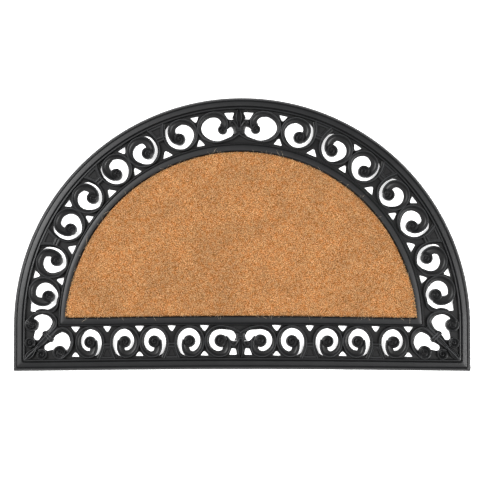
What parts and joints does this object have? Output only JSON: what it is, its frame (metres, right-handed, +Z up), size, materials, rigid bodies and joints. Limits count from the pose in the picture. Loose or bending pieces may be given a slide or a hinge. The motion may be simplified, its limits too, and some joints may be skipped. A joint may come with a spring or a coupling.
{
  "type": "half round doormat",
  "caption": "Half round doormat: a moulded black rubber tray with a pierced border of scrolls, filled with a pad of tan coir pile. It lies flat in front of a door.",
  "frame": {"origin": "on the floor, under the middle of the mat's bounding box", "axes": "+X along the straight edge, +Y from the straight edge towards the top of the arc, +Z up"},
  "size_m": [0.75, 0.45, 0.0139],
  "materials": {
    "rubber": "satin black moulded rubber",
    "coir": "short cut pile of tan coconut fibre"
  },
  "bodies": {
    "root": {"rubber_tray": "rubber", "coir_pad": "coir"}
  },
  "joints": []
}
